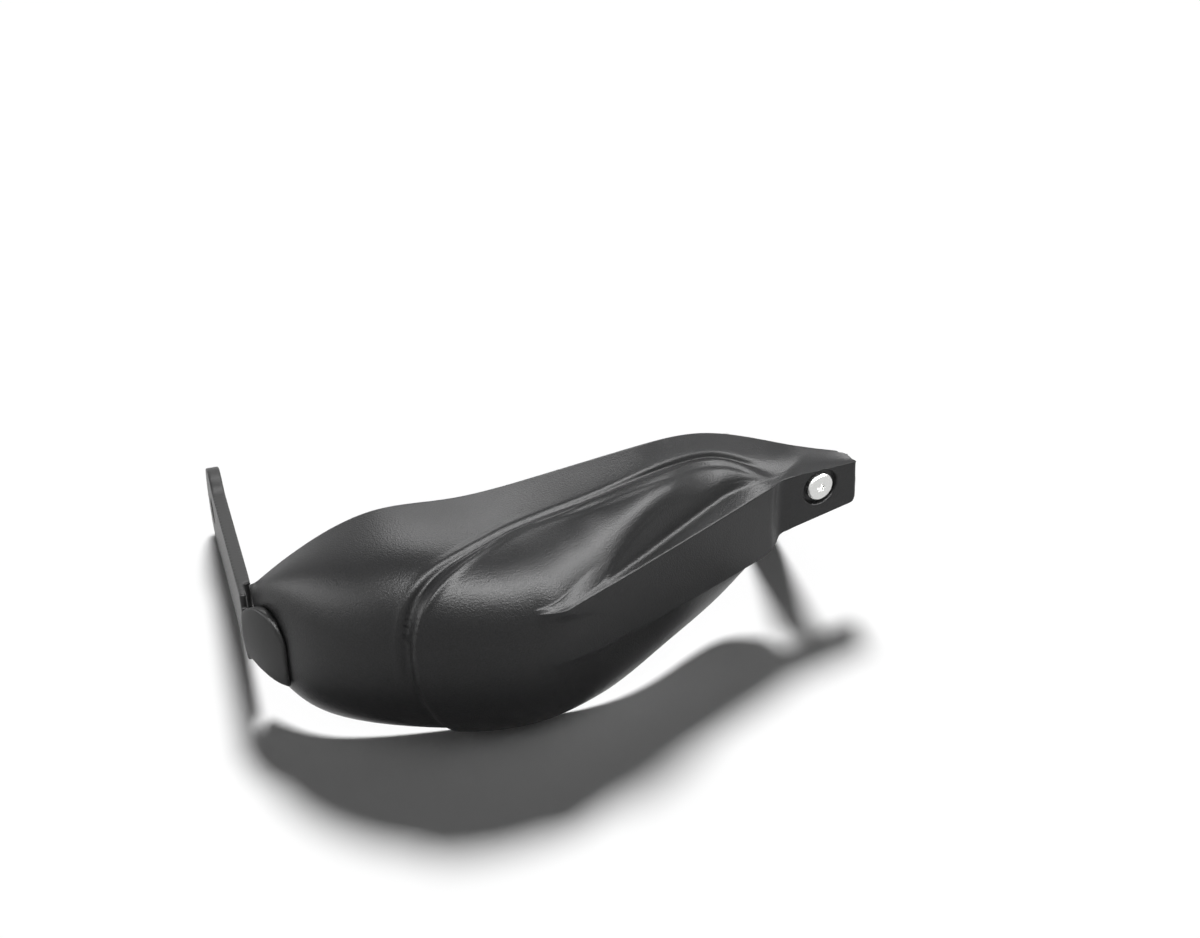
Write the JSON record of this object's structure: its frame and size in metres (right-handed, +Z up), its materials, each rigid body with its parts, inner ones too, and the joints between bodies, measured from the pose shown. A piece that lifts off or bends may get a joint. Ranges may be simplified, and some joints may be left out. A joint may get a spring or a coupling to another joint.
{
  "type": "motorcycle hand guard",
  "caption": "Moulded plastic hand guard for a motorcycle handlebar, with a bar-end arm ending in an eye and a bent clamp bracket with a threaded stud.",
  "frame": {"origin": "centre of the bar-end eye, on the inboard face of its web", "axes": "+X inboard along the handlebar, +Y rearward towards the rider, +Z up, lying as it rests on a bench"},
  "size_m": [0.2837, 0.2118, 0.104],
  "materials": {
    "shell_plastic": "spark-eroded grain, matte black",
    "arm_metal": "satin black coat",
    "bracket_steel": "satin black powder coat",
    "bright_steel": "satin stainless",
    "stud_steel": "bright zinc",
    "spacer_black": "black oxide"
  },
  "bodies": {
    "root": {"guard_shell": "shell_plastic", "bar_end_arm": "arm_metal", "clamp_bracket": "bracket_steel", "tab_screw": "bright_steel", "clamp_bolt": "stud_steel", "clamp_spacer": "spacer_black", "arm_screws": "bright_steel", "arm_washers": "bright_steel"}
  },
  "joints": []
}
